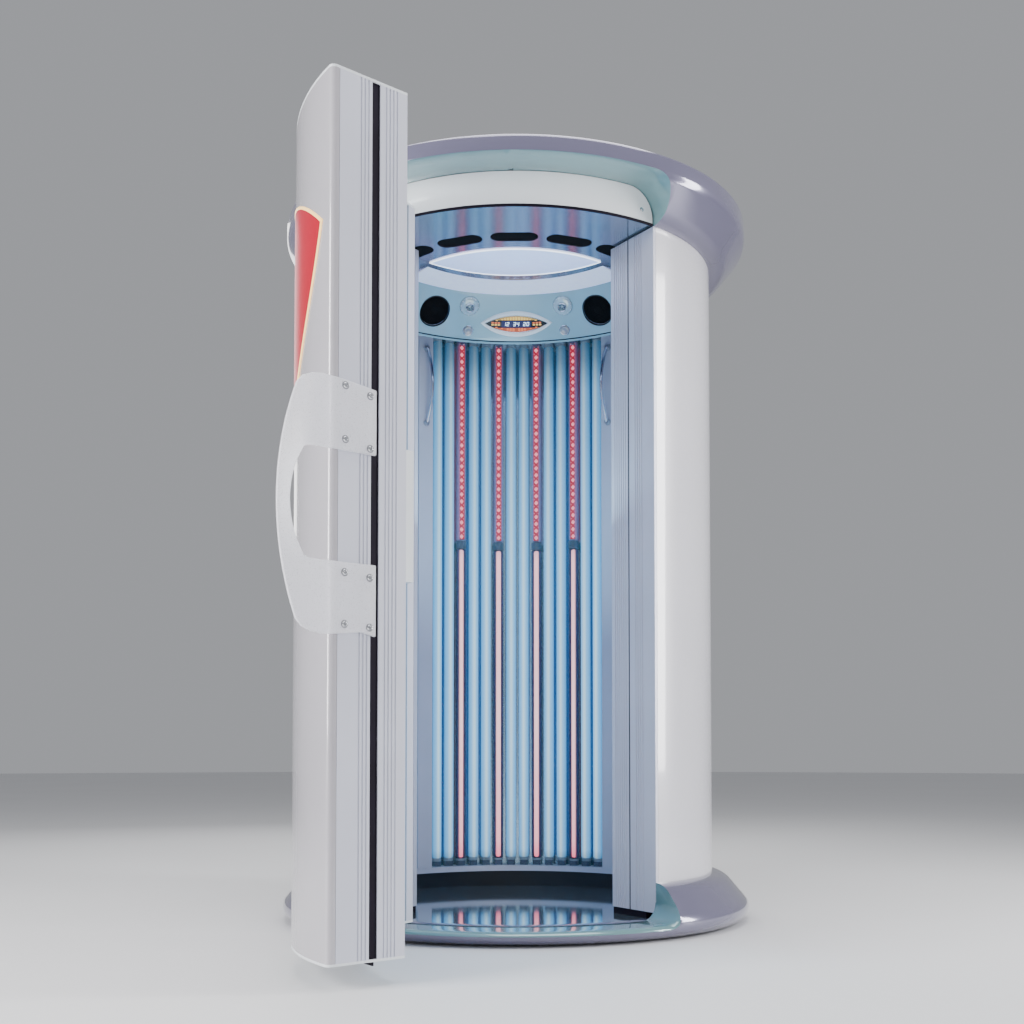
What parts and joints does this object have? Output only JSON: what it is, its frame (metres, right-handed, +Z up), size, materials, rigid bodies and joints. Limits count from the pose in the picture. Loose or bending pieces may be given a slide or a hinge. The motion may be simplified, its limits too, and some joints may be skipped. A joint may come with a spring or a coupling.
{
  "type": "vertical tanning booth",
  "caption": "Oval stand-up tanning cabin with a curved hinged door, lamp banks behind clear screens, a flared base and crown, a control panel overhead and an exhaust fan.",
  "frame": {"origin": "on the floor under the middle of the cabin, at the pad of the middle foot", "axes": "+Z up; the doorway faces -Y; +X is to the right of someone who looks in"},
  "size_m": [1.5432, 2.1069, 2.345],
  "materials": {
    "silver_shell": "glossy, faint silver metallic",
    "white_plastic": "satin white",
    "door_lacquer": "smooth light grey lacquer",
    "panel_lacquer": "smooth light lacquer",
    "white_aluminium": "satin, powder-coated white",
    "frame_steel": "plain dark coat",
    "steel_bright": "polished",
    "steel_satin": "satin",
    "reflector_sheet": "bright rolled",
    "floor_mirror": "mirror polish",
    "clear_acrylic": "clear, glossy",
    "lamp_glass": "frosted, lit light blue",
    "pink_glass": "frosted, lit pink white",
    "red_strip": "lit red",
    "socket_plastic": "matte",
    "black_plastic": "matte",
    "rubber": "matte",
    "frosted_plastic": "frosted, translucent white",
    "panel_teal": "glossy",
    "ceiling_satin": "satin metallic",
    "lens_white": "opal, lit",
    "display_glass": "glossy, lit",
    "inlay_red": "glossy, lit",
    "ballast_case": "plain coat"
  },
  "bodies": {
    "cabin": {"base_frame": "frame_steel", "levelling_feet": "rubber", "floor_plate": "floor_mirror", "front_sill": "white_plastic", "base_skirt": "silver_shell", "jamb_right": "white_aluminium", "jamb_left": "white_aluminium", "jamb_rubbers": "rubber", "side_panel_left": "panel_lacquer", "side_panel_right": "panel_lacquer", "rear_panel": "panel_lacquer", "kick_panel": "black_plastic", "lamp_rails": "white_plastic", "reflector": "reflector_sheet", "acrylic_back": "clear_acrylic", "acrylic_left": "clear_acrylic", "acrylic_right": "clear_acrylic", "cabin_posts": "white_aluminium", "grab_handles": "steel_bright", "crown_shell": "silver_shell", "roof_cover": "panel_lacquer", "exhaust_spigot": "steel_satin", "header_panel": "white_plastic", "fan_housing": "black_plastic", "uv_lamps": "lamp_glass", "red_light_strips": "red_strip", "collagen_lamps": "pink_glass", "lamp_holders": "socket_plastic", "ceiling_panel": "ceiling_satin", "ceiling_light": "lens_white", "ceiling_cove": "white_plastic", "control_panel": "panel_teal", "display_bezel": "white_plastic", "display_window": "display_glass", "speakers": "black_plastic", "lamp_ballasts": "ballast_case", "hinge_brackets": "steel_satin", "hinge_pins": "steel_bright"},
    "fan": {"fan_impeller": "black_plastic"},
    "nozzle_left": {"air_nozzle_left": "steel_bright"},
    "nozzle_right": {"air_nozzle_right": "steel_bright"},
    "button_left": {"push_button_left": "steel_bright"},
    "button_right": {"push_button_right": "steel_bright"},
    "door": {"door_shell": "door_lacquer", "door_free_profile": "white_aluminium", "door_hinge_profile": "white_aluminium", "door_seals": "rubber", "door_end_caps": "white_plastic", "door_reflector": "reflector_sheet", "door_acrylic": "clear_acrylic", "door_uv_lamps": "lamp_glass", "door_red_light_strips": "red_strip", "door_collagen_lamps": "pink_glass", "door_lamp_holders": "socket_plastic", "hinge_leaves": "steel_satin", "door_inlay": "inlay_red", "door_handle": "frosted_plastic", "inner_pull": "white_plastic"}
  },
  "joints": [
    {"name": "door_hinge", "type": "hinge", "parent": "cabin", "child": "door", "pos_m": [-0.45455, -0.44328, 1.095], "axis": [0, 0, 1], "range_deg": [0, 85.5]},
    {"name": "fan_spin", "type": "hinge", "parent": "cabin", "child": "fan", "pos_m": [0, 0.15, 2.255], "axis": [0, 0, 1], "continuous": true},
    {"name": "nozzle_left_turn", "type": "hinge", "parent": "cabin", "child": "nozzle_left", "pos_m": [-0.16256, 0.07542, 2.10357], "axis": [0.2044, -0.6769, -0.7071], "range_deg": [-90, 90]},
    {"name": "nozzle_right_turn", "type": "hinge", "parent": "cabin", "child": "nozzle_right", "pos_m": [0.16256, 0.07542, 2.10357], "axis": [-0.2044, -0.6769, -0.7071], "range_deg": [-90, 90]},
    {"name": "button_left_press", "type": "slide", "parent": "cabin", "child": "button_left", "axis": [-0.1937, 0.6801, 0.7071], "range_m": [0, 0.003], "stiffness_N_per_m": 600, "springref_m": -0.001},
    {"name": "button_right_press", "type": "slide", "parent": "cabin", "child": "button_right", "axis": [0.1937, 0.6801, 0.7071], "range_m": [0, 0.003], "stiffness_N_per_m": 600, "springref_m": -0.001}
  ]
}
